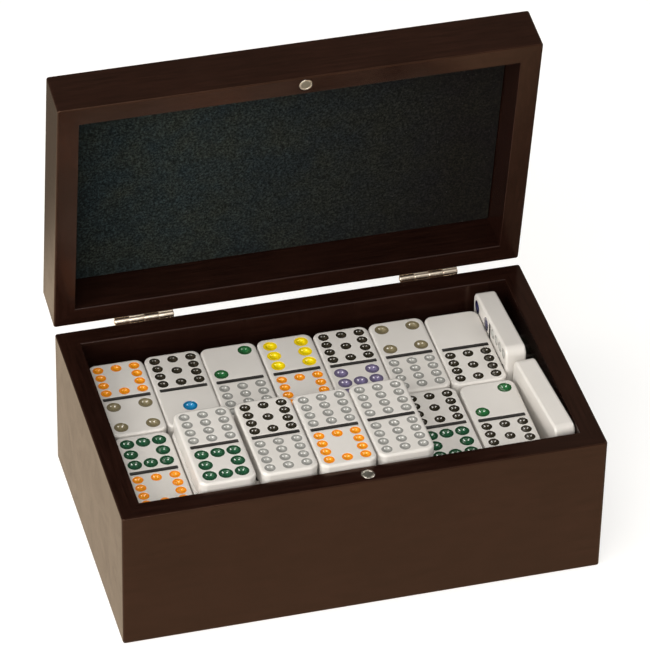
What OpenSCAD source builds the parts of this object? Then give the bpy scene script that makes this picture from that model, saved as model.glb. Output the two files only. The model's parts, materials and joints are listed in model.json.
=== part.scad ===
// A lined wooden storage box with a hinged lid, holding a double-twelve set of dominoes.
// Millimetres: +X is right, +Y is back and +Z is up, from the centre of the box's underside.
// The lid stands open on its two hinges, held shut by two magnets when it is closed.
// The set has 91 tiles: six flat layers of fourteen, four on top, two on edge at the right,
// and one on edge inside the stack.

/* [Dominoes] */
// Length of a tile
tile_l = 50.8; // [46:0.1:58]
// Width of a tile
tile_w = 25.4; // [23:0.1:29]
// Thickness of a tile
tile_t = 9.525; // [8:0.005:12]
// Corner radius of a tile, seen from above
tile_corner = 4; // [1.5:0.1:5]
// Radius along the edges of a tile
tile_edge = 1.2; // [0.3:0.1:1.5]
// Diameter of the pips of the numbers one to nine
big_pip_d = 6.3; // [4.5:0.1:6.8]
// Diameter of the pips of the numbers ten to twelve
small_pip_d = 4.8; // [3.5:0.1:5]
// Bare rim between the big outer pips and the edges of their half of the tile
big_pip_margin = 2.4; // [1.8:0.1:3]
// Bare rim between the small outer pips and the edges of their half of the tile
small_pip_margin = 2.1; // [1.6:0.1:2.4]
// Depth of a pip
pip_depth = 0.7; // [0.3:0.1:1.2]
// Bare rim at each end of the dividing groove
divider_margin = 1.95; // [1.5:0.05:4]
// Width of the dividing groove
divider_w = 2.2; // [1:0.1:2.4]
// Depth of the dividing groove
divider_depth = 0.5; // [0.2:0.1:1]

/* [Storage] */
// Gap between neighbouring tiles in the two upper layers
tile_gap = 0.35; // [0.3:0.05:1.2]
// Gap between neighbouring tiles in the lower layers
pack_gap = 0.2; // [0.1:0.05:0.3]
// Gap between the left wall and the tiles beside it
wall_gap = 0.4; // [0.35:0.05:1.5]
// Gap between the front wall and the front rows
front_gap = 1; // [0.8:0.1:3]
// Gap between the front rows and the back rows
row_gap = 1; // [0.9:0.1:3]
// Finger room between the back rows and the back wall
back_room = 8.5; // [6:0.1:20]
// How far the top tiles have slid to the right of the tiles beneath them
top_shift = 2.65; // [2.3:0.05:3.2]
// Spare width beside a tile that stands on edge at the right
stand_slack = 7; // [6.5:0.1:15]
// Gap between the back row and the tile that stands beside it
stand_back_gap = 0.6; // [0.6:0.05:2.5]
// How far that tile has slid to the back of the row's middle
stand_back_slide = 3.9; // [3.9:0.05:5]
// How far its front end is raised, in degrees
stand_back_pitch = 5; // [0:0.1:5]
// Gap between the right wall and the tile that stands beside the front row
stand_front_gap = 2.2; // [2.1:0.05:4]
// How far that tile has slid to the back of the row's middle
stand_front_slide = 3.65; // [0:0.05:3.65]
// How far its back end is raised, in degrees
stand_front_pitch = 2.2; // [0:0.1:2.5]
// Height of the rim above the top full layer
rim_room = 6.65; // [2:0.05:12]

/* [Box] */
// Thickness of the side boards of the box and the lid
wall_t = 9.7; // [7.5:0.1:14]
// Radius of the upright outer corners
corner_r = 1.2; // [0.5:0.1:4]
// Thickness of the bottom panel
bottom_t = 5.5; // [3:0.1:9]
// Depth of the rebate that holds the bottom panel and the lid panel
rebate = 4; // [2:0.1:5]
// Thickness of the felt on the floor and in the lid
felt_t = 1; // [0.5:0.1:2]
// Gap around the felt
felt_gap = 0.3; // [0.2:0.05:1]

/* [Lid] */
// Depth of the hollow inside the lid
lid_recess = 18.1; // [10:0.1:30]
// Thickness of the lid panel
lid_panel_t = 3.4; // [2:0.1:6]
// How far the lid stands open
lid_open = 82.2; // [60:0.1:95]

/* [Hinges] */
// Length of a hinge
hinge_w = 27; // [24:0.5:40]
// Distance from the left end of the box to the middle of the left hinge
left_hinge_inset = 41.3; // [25:0.1:60]
// Distance from the right end of the box to the middle of the right hinge
right_hinge_inset = 42.5; // [25:0.1:60]
// Outer radius of a knuckle
knuckle_r = 1.7; // [1.6:0.05:2.4]
// Gap between a knuckle and the boards
knuckle_gap = 0.3; // [0.3:0.05:0.6]
// Gap between neighbouring knuckles
knuckle_split = 0.2; // [0.1:0.05:0.4]
// Radius of a hinge pin
pin_r = 0.9; // [0.6:0.05:1.2]
// Radial play of a hinge pin
pin_play = 0.05; // [0.02:0.01:0.1]
// Length that a hinge pin stands out at each end
pin_out = 0.3; // [0.1:0.1:1]
// Thickness of a hinge leaf
leaf_t = 1; // [0.8:0.1:1.4]
// Height of a hinge leaf from the line of the pin
leaf_h = 13; // [12:0.5:18]
// Height of the screws from the line of the pin
screw_drop = 8; // [7:0.1:9]
// Distance from the end of a hinge to its nearest screw
screw_inset = 5; // [4:0.1:7]
// Radius of a screw's shank
screw_r = 1.1; // [0.8:0.05:1.3]
// Radius of a screw's countersunk head
screw_head_r = 2.2; // [2:0.05:2.6]
// Length of a screw
screw_l = 8; // [5:0.5:8.5]
// Clearance round a screw
screw_play = 0.1; // [0.05:0.05:0.2]

/* [Magnets] */
// Radius of a magnet
magnet_r = 3; // [2:0.1:3.5]
// Thickness of a magnet
magnet_t = 3; // [2:0.1:5]
// Clearance round a magnet
magnet_play = 0.05; // [0.02:0.01:0.2]
// How far a magnet sits below the rim
magnet_sink = 0.1; // [0.05:0.05:0.3]
// Distance of the magnets from the middle of the box, to the right
magnet_offset = 1.4; // [-10:0.1:10]

/* [Hidden] */
$fn = 64;
columns = 7;
layers = 6;
cut = 1; // overshoot of a cutting shape past the face it opens

// The rows of tiles, and the hollow that holds them.
row_pitch = tile_w + tile_gap;
pack_pitch = tile_w + pack_gap;
row_w = columns*tile_w + (columns - 1)*tile_gap;
inner_w = wall_gap + row_w + tile_t + stand_slack;
inner_d = front_gap + tile_l + row_gap + tile_l + back_room;
left_x = -inner_w/2 + wall_gap;
right_x = inner_w/2 - wall_gap;
front_y = -inner_d/2 + front_gap + tile_l/2;
back_y = front_y + tile_l + row_gap;
floor_z = bottom_t + felt_t;

// The box and the lid.
box_w = inner_w + 2*wall_t;
box_d = inner_d + 2*wall_t;
box_h = floor_z + layers*tile_t + rim_room;
lid_h = lid_recess + felt_t + lid_panel_t;

// The hinges: the pin runs along the parting line, behind the back face.
hinge_set = knuckle_r + knuckle_gap;
hinge_y = box_d/2 + hinge_set;
knuckles = 4;
knuckle_pitch = hinge_w/knuckles;
plate_top = hinge_set;
function hinge_inset(side) = side < 0 ? left_hinge_inset : right_hinge_inset;

// The visible tiles: [number of the back half, number of the front half, shift in X, shift in Y, turn].
back_row = [
    [10, 4, -0.05, 0.45, 0], [11, 1, 0, 0.85, -0.2], [2, 12, -0.12, 0.45, 0], [6, 10, 0.15, 0.35, 0.2],
    [11, 7, 0.15, -0.3, -0.2], [4, 12, 0.25, -0.1, -0.1], [0, 11, 0.3, -1.1, -0.4]
];
front_row = [
    [8, 10, -0.2, 0.5, 0.2], [3, 9, 0, 0, 0], [5, 11, 0, 0, 0], [7, 12, 0, 0, 0],
    [1, 10, 0, 0, 0], [11, 8, 0.85, 0.2, 0.3], [2, 11, 1.75, -0.75, -0.3]
];
// The four tiles on top of the front row, by the column beneath each.
top_row = [
    [12, 8, 0.85, 0.3, 0.3, 1], [11, 12, top_shift - 0.2, 0.4, 0.6, 2],
    [12, 10, top_shift + 0.1, -0.5, 0.5, 3], [12, 12, top_shift + 0.25, 0.5, 1, 4]
];
// The two tiles on edge at the right: [number at the back, number at the front, turn, pitch].
stand_back = [5, 12, -0.3, -stand_back_pitch];
stand_front = [9, 9, 4.6, stand_front_pitch];
rest_gap = 0.05; // under the corner on which such a tile rests
stand_back_x = left_x + row_w + stand_back_gap + tile_t/2;
stand_back_y = back_y + stand_back_slide;
stand_front_x = inner_w/2 - stand_front_gap - tile_t/2;
stand_front_y = front_y + stand_front_slide;

// ---- boards ----

// A block with rounded upright corners, standing on z = 0.
module rounded_block(w, d, h, r) {
    linear_extrude(h) {
        square([w - 2*r, d], center = true);
        square([w, d - 2*r], center = true);
        for (sx = [-1, 1], sy = [-1, 1]) translate([sx*(w/2 - r), sy*(d/2 - r)]) circle(r);
    }
}

// The plan of one board of a mitred frame: the board lies along the frame's edge at y = -d/2.
module board_plan(w, d) {
    polygon([[-w/2, -d/2], [w/2, -d/2], [w/2 - wall_t, -d/2 + wall_t], [-w/2 + wall_t, -d/2 + wall_t]]);
}

// One board of the mitred frame, standing on z = 0. Side is "front", "back", "left" or "right".
module board(side, h) {
    turn = side == "front" ? 0 : side == "right" ? 90 : side == "back" ? 180 : 270;
    upright = side == "left" || side == "right";
    intersection() {
        rotate([0, 0, turn]) linear_extrude(h)
            board_plan(upright ? box_d : box_w, upright ? box_w : box_d);
        rounded_block(box_w, box_d, h, corner_r);
    }
}

// A panel that fits the rebates, standing on z = 0.
module panel(t) {
    translate([-inner_w/2 - rebate, -inner_d/2 - rebate, 0])
        cube([inner_w + 2*rebate, inner_d + 2*rebate, t]);
}

module felt() {
    translate([-inner_w/2 + felt_gap, -inner_d/2 + felt_gap, 0])
        cube([inner_w - 2*felt_gap, inner_d - 2*felt_gap, felt_t]);
}

module box_board(side) {
    color([0.22, 0.14, 0.11]) difference() {
        board(side, box_h);
        translate([0, 0, -cut]) panel(bottom_t + cut);
        if (side == "front") translate([0, 0, box_h]) magnet_bore();
        if (side == "back") hinge_places() box_side() screw_bores();
    }
}

// ---- lid, drawn shut with its rim on the box's rim and then swung open ----

module swing_open() {
    translate([0, hinge_y, box_h]) rotate([-lid_open, 0, 0]) translate([0, -hinge_y, 0]) children();
}

module lid_board(side) {
    color([0.2, 0.12, 0.1]) swing_open() difference() {
        board(side, lid_h);
        translate([0, 0, lid_h - lid_panel_t]) panel(lid_panel_t + cut);
        if (side == "front") mirror([0, 0, 1]) magnet_bore();
        if (side == "back") translate([0, 0, -box_h]) hinge_places() lid_side() screw_bores();
    }
}

module lid_panel() {
    color([0.2, 0.12, 0.1]) swing_open() translate([0, 0, lid_h - lid_panel_t]) panel(lid_panel_t);
}

module lid_felt() {
    color([0.09, 0.11, 0.12]) swing_open() translate([0, 0, lid_recess]) felt();
}

module bottom_panel() { color([0.22, 0.14, 0.11]) panel(bottom_t); }
module floor_felt() { color([0.09, 0.11, 0.12]) translate([0, 0, bottom_t]) felt(); }

// ---- magnets, from the rim at z = 0 down into the middle of the front board ----

module magnet_bore() {
    translate([magnet_offset, -box_d/2 + wall_t/2, -magnet_sink - magnet_t])
        cylinder(r = magnet_r + magnet_play, h = magnet_t + magnet_sink + cut);
}

module magnet() {
    color("silver") translate([magnet_offset, -box_d/2 + wall_t/2, -magnet_sink - magnet_t])
        cylinder(r = magnet_r, h = magnet_t);
}

module box_magnet() { translate([0, 0, box_h]) magnet(); }
module lid_magnet() { swing_open() mirror([0, 0, 1]) magnet(); }

// ---- hinges, drawn about the pin's line, with the box's leaf hanging down ----

module hinge_places(sides = [-1, 1]) {
    for (s = sides) translate([s*(box_w/2 - hinge_inset(s)), hinge_y, box_h]) children();
}

// What is drawn for the box's leaf serves the lid's leaf too, turned over.
module box_side() { children(); }
module lid_side() { mirror([0, 0, 1]) children(); }

module screw_places() {
    for (sx = [-1, 1]) translate([sx*(hinge_w/2 - screw_inset), -hinge_set, -screw_drop])
        rotate([90, 0, 0]) children();
}

module screw_bores() {
    screw_places() translate([0, 0, -cut]) cylinder(r = screw_r + screw_play, h = screw_l + cut);
}

module leaf(first) {
    color([0.83, 0.76, 0.6]) difference() {
        union() {
            translate([-hinge_w/2, -hinge_set, -leaf_h]) cube([hinge_w, leaf_t, leaf_h - plate_top]);
            for (k = [first : 2 : knuckles - 1]) knuckle(-hinge_w/2 + k*knuckle_pitch);
        }
        translate([-hinge_w/2 - cut, 0, 0]) rotate([0, 90, 0])
            cylinder(r = pin_r + pin_play, h = hinge_w + 2*cut);
        screw_places() translate([0, 0, -leaf_t]) countersink(screw_play, cut);
    }
}

// A rolled knuckle and the strip that joins it to its leaf.
module knuckle(x) {
    len = knuckle_pitch - knuckle_split;
    translate([x + knuckle_split/2, 0, 0]) {
        rotate([0, 90, 0]) cylinder(r = knuckle_r, h = len);
        translate([0, -hinge_set, -plate_top - cut]) cube([len, leaf_t, plate_top - knuckle_r/3 + cut]);
    }
}

// The countersunk head, from its face at z = 0 down through the leaf, with the shank below it.
module countersink(play, above) {
    cylinder(r1 = screw_head_r + play, r2 = screw_r + play, h = leaf_t);
    translate([0, 0, -above]) cylinder(r = screw_head_r + play, h = above);
    translate([0, 0, leaf_t]) cylinder(r = screw_r + play, h = cut);
}

module screw() {
    cross_l = 1.2*screw_head_r;
    cross_w = 0.5;
    translate([0, 0, -leaf_t]) difference() {
        union() {
            cylinder(r1 = screw_head_r, r2 = screw_r, h = leaf_t);
            translate([0, 0, leaf_t]) cylinder(r = screw_r, h = screw_l - leaf_t);
        }
        for (turn = [0, 90]) rotate([0, 0, turn])
            translate([-cross_l/2, -cross_w/2, -cut]) cube([cross_l, cross_w, cut + leaf_t/2]);
    }
}

module hinge_pin(side) {
    color([0.83, 0.76, 0.6]) hinge_places([side]) translate([-hinge_w/2 - pin_out, 0, 0]) rotate([0, 90, 0])
        cylinder(r = pin_r, h = hinge_w + 2*pin_out);
}

module box_leaf(side) { hinge_places([side]) leaf(0); }
module lid_leaf(side) { swing_open() translate([0, 0, -box_h]) hinge_places([side]) lid_side() leaf(1); }
module box_hinge_screws() { color("silver") hinge_places() screw_places() screw(); }
module lid_hinge_screws() {
    color("silver") swing_open() translate([0, 0, -box_h]) hinge_places() lid_side() screw_places() screw();
}

// ---- dominoes ----

// The upright section of a tile, as wide as asked, with rounded edges.
module tile_section(w) {
    square([w - 2*tile_edge, tile_t], center = true);
    square([w, tile_t - 2*tile_edge], center = true);
    for (sx = [-1, 1], sz = [-1, 1])
        translate([sx*(w/2 - tile_edge), sz*(tile_t/2 - tile_edge)]) circle(tile_edge);
}

// A bare tile about its own centre, long side along Y.
module blank() {
    flat_w = tile_w - 2*tile_corner;
    flat_l = tile_l - 2*tile_corner;
    rotate([90, 0, 0]) linear_extrude(flat_l, center = true) tile_section(tile_w);
    rotate([90, 0, 90]) linear_extrude(flat_w, center = true) tile_section(tile_l);
    for (sx = [-1, 1], sy = [-1, 1]) translate([sx*flat_w/2, sy*flat_l/2, 0]) rotate_extrude()
        intersection() {
            tile_section(2*tile_corner);
            translate([0, -tile_t]) square(2*tile_t);
        }
}

// Where the pips of a number lie in its half, in steps of that number's own grid.
function pip_grid(n) =
    n == 0 ? [] :
    n == 1 ? [[0, 0]] :
    n == 2 ? [[-1, -1], [1, 1]] :
    n == 3 ? concat(pip_grid(1), pip_grid(2)) :
    n == 4 ? [for (x = [-1, 1], y = [-1, 1]) [x, y]] :
    n == 5 ? concat(pip_grid(1), pip_grid(4)) :
    n == 6 ? [for (x = [-1, 1], y = [-1, 0, 1]) [x, y]] :
    n == 7 ? concat(pip_grid(1), pip_grid(6)) :
    n == 8 ? concat(pip_grid(6), [[0, -1], [0, 1]]) :
    n == 9 ? concat(pip_grid(8), pip_grid(1)) :
    n == 10 ? concat(outer_columns(), [[0, -1], [0, 1]]) :
    n == 11 ? concat(outer_columns(), [[0, -1], [0, 0], [0, 1]]) :
    concat(outer_columns(), [for (y = [-1, -1/3, 1/3, 1]) [0, y]]);
function outer_columns() = [for (x = [-1, 1], y = [-1, -1/3, 1/3, 1]) [x, y]];

// The pips of one half, cut as shallow bowls into a face at z = 0.
module pips(n) {
    d = n > 9 ? small_pip_d : big_pip_d;
    margin = n > 9 ? small_pip_margin : big_pip_margin;
    step_x = tile_w/2 - margin - d/2;
    step_y = tile_l/4 - margin - d/2;
    bowl_r = (d*d/4 + pip_depth*pip_depth)/(2*pip_depth);
    for (p = pip_grid(n)) translate([p[0]*step_x, p[1]*step_y, bowl_r - pip_depth]) sphere(bowl_r);
}

// A tile about its own centre, face up, with one number on its back half and one on its front half.
module domino(back, front) {
    color("ivory") difference() {
        blank();
        translate([0, tile_l/4, tile_t/2]) pips(back);
        translate([0, -tile_l/4, tile_t/2]) pips(front);
        translate([0, 0, tile_t/2])
            cube([tile_w - 2*divider_margin, divider_w, 2*divider_depth], center = true);
    }
}

function column_x(i) = left_x + tile_w/2 + i*row_pitch;
function layer_z(level) = floor_z + (level - 0.5)*tile_t;

// A tile of a row, given as an entry of its list.
module row_tile(entry, x, y, level) {
    translate([x + entry[2], y + entry[3], layer_z(level)]) rotate([0, 0, entry[4]])
        domino(entry[0], entry[1]);
}

module back_tile(i) { row_tile(back_row[i - 1], column_x(i - 1), back_y, layers); }
module front_tile(i) { row_tile(front_row[i - 1], column_x(i - 1), front_y, layers); }
module top_tile(i) { row_tile(top_row[i - 1], column_x(top_row[i - 1][5]), front_y, layers + 1); }

// A tile on its long edge, with its face to the left or to the right, that rests by one corner
// on the fourth layer and is raised at its other end.
module standing_tile(entry, x, y, face) {
    pitch = entry[3];
    lift = (tile_l/2 - tile_corner)*abs(sin(pitch)) + (tile_w/2 - tile_corner)*cos(pitch) + tile_corner;
    translate([x, y, floor_z + (layers - 2)*tile_t + rest_gap + lift]) rotate([0, 0, entry[2]])
        rotate([pitch, 0, 0]) rotate([0, face*90, 0]) domino(entry[0], entry[1]);
}

// The plain tiles of the lower layers have only their rounded outline.
module plain_tile() { color("ivory") rounded_block(tile_w, tile_l, tile_t, tile_corner); }

// Layers one to four leave a slot for the tile on edge, and the rest of the spare width to its right.
slot_after = 3;
slot_w = tile_t + 1;
function lower_x(i) =
    i < slot_after ? upper_x(i) :
    i == slot_after ? upper_x(i) + slot_w :
    right_x - tile_w/2 - (columns - 1 - i)*pack_pitch;

function upper_x(i) = left_x + tile_w/2 + i*pack_pitch;

module tile_layer(level) {
    for (i = [0 : columns - 1], y = [front_y, back_y])
        translate([level > layers - 2 ? upper_x(i) : lower_x(i), y, layer_z(level) - tile_t/2]) plain_tile();
}

module inner_standing_tile() {
    slot_x = left_x + slot_after*pack_pitch - pack_gap + (slot_w + pack_gap)/2;
    translate([slot_x, front_y, floor_z + tile_w/2])
        rotate([0, 90, 0]) translate([0, 0, -tile_t/2]) plain_tile();
}

box_board("front");  // front_wall
box_board("back");  // back_wall
box_board("left");  // left_wall
box_board("right");  // right_wall
bottom_panel();
floor_felt();
lid_board("front");  // lid_front_rail
lid_board("back");  // lid_back_rail
lid_board("left");  // lid_left_rail
lid_board("right");  // lid_right_rail
lid_panel();
lid_felt();
box_magnet();
lid_magnet();
box_leaf(-1);  // left_hinge_box_leaf
lid_leaf(-1);  // left_hinge_lid_leaf
hinge_pin(-1);  // left_hinge_pin
box_leaf(1);  // right_hinge_box_leaf
lid_leaf(1);  // right_hinge_lid_leaf
hinge_pin(1);  // right_hinge_pin
box_hinge_screws();
lid_hinge_screws();
back_tile(1);  // back_tile_1
back_tile(2);  // back_tile_2
back_tile(3);  // back_tile_3
back_tile(4);  // back_tile_4
back_tile(5);  // back_tile_5
back_tile(6);  // back_tile_6
back_tile(7);  // back_tile_7
front_tile(1);  // front_tile_1
front_tile(2);  // front_tile_2
front_tile(3);  // front_tile_3
front_tile(4);  // front_tile_4
front_tile(5);  // front_tile_5
front_tile(6);  // front_tile_6
front_tile(7);  // front_tile_7
top_tile(1);  // top_tile_1
top_tile(2);  // top_tile_2
top_tile(3);  // top_tile_3
top_tile(4);  // top_tile_4
standing_tile(stand_back, stand_back_x, stand_back_y, -1);  // standing_tile_back
standing_tile(stand_front, stand_front_x, stand_front_y, 1);  // standing_tile_front
tile_layer(1);  // tile_layer_1
tile_layer(2);  // tile_layer_2
tile_layer(3);  // tile_layer_3
tile_layer(4);  // tile_layer_4
tile_layer(5);  // tile_layer_5
inner_standing_tile();
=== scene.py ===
"""The looks of a wooden domino box: stained boards, felt, brass hinges and 91 painted tiles.

Shapes are worked out in millimetres from the frame's own boxes, and turned to metres as each piece is made.
The box faces -Y, and Z is up.
"""

import json
import math
import random

import bpy
import numpy as np
from mathutils import Matrix, Vector
from mathutils.geometry import tessellate_polygon


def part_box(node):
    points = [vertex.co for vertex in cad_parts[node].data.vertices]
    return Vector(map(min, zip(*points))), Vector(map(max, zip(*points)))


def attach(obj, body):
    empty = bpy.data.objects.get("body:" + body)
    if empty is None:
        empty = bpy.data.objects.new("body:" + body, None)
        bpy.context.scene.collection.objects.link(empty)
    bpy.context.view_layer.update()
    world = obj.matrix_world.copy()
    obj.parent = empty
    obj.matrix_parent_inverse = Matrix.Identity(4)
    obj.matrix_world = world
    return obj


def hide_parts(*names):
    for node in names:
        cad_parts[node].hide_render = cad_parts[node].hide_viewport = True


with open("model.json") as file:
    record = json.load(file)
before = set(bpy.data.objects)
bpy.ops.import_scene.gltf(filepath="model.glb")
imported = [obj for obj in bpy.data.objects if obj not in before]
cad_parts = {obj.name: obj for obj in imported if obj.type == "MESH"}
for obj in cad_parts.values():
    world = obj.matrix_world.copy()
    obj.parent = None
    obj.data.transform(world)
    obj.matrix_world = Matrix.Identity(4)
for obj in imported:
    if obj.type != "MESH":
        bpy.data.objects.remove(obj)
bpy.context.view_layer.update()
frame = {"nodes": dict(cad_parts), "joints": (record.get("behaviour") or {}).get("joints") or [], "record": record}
MM = 0.001


# ---- sizes, in millimetres, read from the frame ----

def node_box(node):
    """Lowest and highest corner of a CAD node at rest."""
    lo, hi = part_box(node)
    return np.array(lo) / MM, np.array(hi) / MM


def node_middle(node):
    lo, hi = node_box(node)
    return (lo + hi) / 2


lid_joint = next(j for j in frame["joints"] if j["name"] == "lid_hinge")
hinge_at = np.array(lid_joint["pos_m"]) / MM
lid_open = math.radians(-lid_joint["range_deg"][0])
swing_open = (
    Matrix.Translation(Vector(hinge_at))
    @ Matrix.Rotation(-lid_open, 4, "X")
    @ Matrix.Translation(-Vector(hinge_at))
)


def shut_box(node):
    """Lowest and highest corner of a lid node once the lid is shut."""
    shut = swing_open.inverted()
    points = np.array([shut @ (v.co / MM) for v in frame["nodes"][node].data.vertices])
    return points.min(0), points.max(0)


front_lo, front_hi = node_box("front_wall")
BOX_W = node_box("right_wall")[1][0] - node_box("left_wall")[0][0]
BOX_D = node_box("back_wall")[1][1] - front_lo[1]
BOX_H = front_hi[2]
WALL = front_hi[1] - front_lo[1]
panel_hi = node_box("bottom_panel")[1]
BOTTOM_T = panel_hi[2]
REBATE = panel_hi[0] - (BOX_W / 2 - WALL)
lid_panel_lo, lid_panel_hi = shut_box("lid_panel")
LID_H = lid_panel_hi[2] - BOX_H
LID_PANEL_T = lid_panel_hi[2] - lid_panel_lo[2]
tile_lo, tile_hi = node_box("front_tile_3")
TILE = tile_hi - tile_lo
HINGE_SET = hinge_at[1] - BOX_D / 2  # how far the pin's line lies behind the back boards
magnet_lo, magnet_hi = node_box("box_magnet")
MAGNET_X = (magnet_lo[0] + magnet_hi[0]) / 2
MAGNET_Y = -BOX_D / 2 + WALL / 2
MAGNET_R = (magnet_hi[0] - magnet_lo[0]) / 2
MAGNET_T = magnet_hi[2] - magnet_lo[2]
MAGNET_SINK = BOX_H - magnet_hi[2]


# ---- mesh building ----

class Shape:
    """Vertices in millimetres and faces of one piece. Faces that share vertices are shaded as one skin."""

    def __init__(self):
        self.points = []
        self.faces = []
        self.paints = []
        self.painted_shades = []

    def add(self, points, faces, paint=0, painted_shades=None):
        """Points with faces between them. Returns the first point's number."""
        start = len(self.points)
        self.points.extend(tuple(p) for p in points)
        self.painted_shades.extend(painted_shades if painted_shades is not None else [1.0] * len(points))
        self.faces.extend([tuple(i + start for i in f) for f in faces])
        self.paints.extend([paint] * len(faces))
        return start

    def link(self, faces, paint=0):
        """Faces between vertices that are already there."""
        self.faces.extend(faces)
        self.paints.extend([paint] * len(faces))

    def close(self, first, count, paint=0, under=False):
        """One face across a ring of vertices. Over an anticlockwise ring it looks up or, if under, down."""
        corners = tuple(numbers(first, count))
        self.link([corners[::-1] if under else corners], paint)

    def loft(self, loops, closed=True, paint=0, painted_shades=None):
        """A skin through rows of points. Rows that run anticlockwise and rise face outwards.

        Returns the first point's number.
        """
        count = len(loops[0])
        start = len(self.points)
        for i, loop in enumerate(loops):
            painted_shade = 1.0 if painted_shades is None else painted_shades[i]
            self.add(loop, [], painted_shades=[painted_shade] * count)
        self.link(skin(start, len(loops), count, closed), paint)
        return start

    def put(self, other, matrix, flip=False):
        """Adds another shape, moved by the matrix."""
        start = len(self.points)
        points = np.array(other.points) @ np.array(matrix.to_3x3()).T + np.array(matrix.translation)
        self.points.extend(map(tuple, points))
        self.painted_shades.extend(other.painted_shades)
        for f in other.faces:
            moved = tuple(i + start for i in f)
            self.faces.append(moved[::-1] if flip else moved)
        self.paints.extend(other.paints)

    def weld(self):
        """Joins vertices at the same place and drops the faces that this closes up."""
        places = {}
        new_index = []
        kept = []
        for i, p in enumerate(self.points):
            key = tuple(round(c, 4) for c in p)
            if key not in places:
                places[key] = len(kept)
                kept.append(i)
            new_index.append(places[key])
        faces = []
        paints = []
        for f, paint in zip(self.faces, self.paints):
            ring = []
            for i in f:
                j = new_index[i]
                if not ring or ring[-1] != j:
                    ring.append(j)
            if len(ring) > 1 and ring[0] == ring[-1]:
                ring.pop()
            if len(set(ring)) == len(ring) and len(ring) > 2:
                faces.append(tuple(ring))
                paints.append(paint)
        self.points = [self.points[i] for i in kept]
        self.painted_shades = [self.painted_shades[i] for i in kept]
        self.faces = faces
        self.paints = paints


def numbers(first, count):
    """The numbers of so many vertices from the first one on."""
    return list(range(first, first + count))


def skin(start, rows, count, closed):
    """Quads between neighbouring rows of equal length."""
    faces = []
    for r in range(rows - 1):
        a, b = start + r * count, start + (r + 1) * count
        for i in range(count if closed else count - 1):
            j = (i + 1) % count
            faces.append((a + i, a + j, b + j, b + i))
    return faces


def even_normals(points, faces):
    """One normal for each vertex, weighted by the area of its faces, so that flat faces stay flat."""
    normals = np.zeros_like(points)
    by_size = {}
    for f in faces:
        by_size.setdefault(len(f), []).append(f)
    for size, group in by_size.items():
        index = np.array(group)
        corners = points[index]
        area = np.zeros((len(group), 3))
        for k in range(size):
            area += np.cross(corners[:, k], corners[:, (k + 1) % size])
        for k in range(size):
            np.add.at(normals, index[:, k], area)
    length = np.linalg.norm(normals, axis=1, keepdims=True)
    return normals / np.maximum(length, 1e-12)


def make_piece(name, shape, materials, body, nodes, matrix=Matrix()):
    """A Blender object from a shape, riding on a body in place of its CAD nodes."""
    points = np.array(shape.points) @ np.array(matrix.to_3x3()).T + np.array(matrix.translation)
    mesh = bpy.data.meshes.new(name)
    mesh.from_pydata((points * MM).tolist(), [], shape.faces)
    for material in materials:
        mesh.materials.append(material)
    mesh.polygons.foreach_set("material_index", shape.paints)
    mesh.polygons.foreach_set("use_smooth", [True] * len(mesh.polygons))
    # Each vertex's share of painted shade, which the pips' enamel reads to darken towards its rim.
    painted_shade = mesh.attributes.new("painted_shade", "FLOAT", "POINT")
    painted_shade.data.foreach_set("value", np.array(shape.painted_shades, np.float32))
    mesh.normals_split_custom_set_from_vertices(even_normals(points, shape.faces).tolist())
    mesh.update()
    piece = bpy.data.objects.new(name, mesh)
    bpy.context.scene.collection.objects.link(piece)
    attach(piece, body)
    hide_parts(*nodes)


def arc(x, y, radius, start, end, steps):
    """Points on an arc, from one angle to the other in degrees."""
    angles = [math.radians(start + (end - start) * i / steps) for i in range(steps + 1)]
    return [(x + radius * math.cos(a), y + radius * math.sin(a)) for a in angles]


def circle(x, y, radius, steps):
    """Points all round a circle, anticlockwise."""
    return arc(x, y, radius, 0, 360 - 360 / steps, steps - 1)


def round_rectangle(w, d, radius, steps):
    """A rectangle with round corners about the origin, anticlockwise."""
    r = max(radius, 1e-3)
    x, y = w / 2 - r, d / 2 - r
    return (
        arc(x, -y, r, -90, 0, steps) + arc(x, y, r, 0, 90, steps)
        + arc(-x, y, r, 90, 180, steps) + arc(-x, -y, r, 180, 270, steps)
    )


def at_height(loop, z):
    return [(x, y, z) for x, y in loop]


def flat_fill(shape, rings, up):
    """Fills a flat ring of vertices, less the rings inside it, with faces that look the given way.

    The rings are lists of vertex numbers.
    """
    loops = [[Vector(shape.points[i]) for i in ring] for ring in rings]
    flat = [i for ring in rings for i in ring]
    for triangle in tessellate_polygon(loops):
        face = tuple(flat[i] for i in triangle)
        a, b, c = (Vector(shape.points[i]) for i in face)
        looks_up = (b - a).cross(c - a).dot(up) >= 0
        shape.link([face if looks_up else face[::-1]])


def slab_rings(w, d, t, corner, edge, corner_steps, edge_steps):
    """Rings of a slab with rounded edges about the origin, from the underside's rim to the top's rim."""
    lower = []
    upper = []
    for i in range(edge_steps + 1):
        a = math.pi / 2 * i / edge_steps
        lower.append((edge * (1 - math.sin(a)), -t / 2 + edge * (1 - math.cos(a))))
        upper.append((edge * (1 - math.cos(a)), t / 2 - edge * (1 - math.sin(a))))
    return [
        at_height(round_rectangle(w - 2 * inset, d - 2 * inset, corner - inset, corner_steps), z)
        for inset, z in lower + upper
    ]


def slab(w, d, t, corner, edge, corner_steps=6, edge_steps=4):
    """A closed slab with rounded edges about the origin."""
    shape = Shape()
    rings = slab_rings(w, d, t, corner, edge, corner_steps, edge_steps)
    start = shape.loft(rings)
    count = len(rings[0])
    shape.close(start, count, under=True)
    shape.close(start + (len(rings) - 1) * count, count)
    return shape


# ---- materials ----

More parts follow.
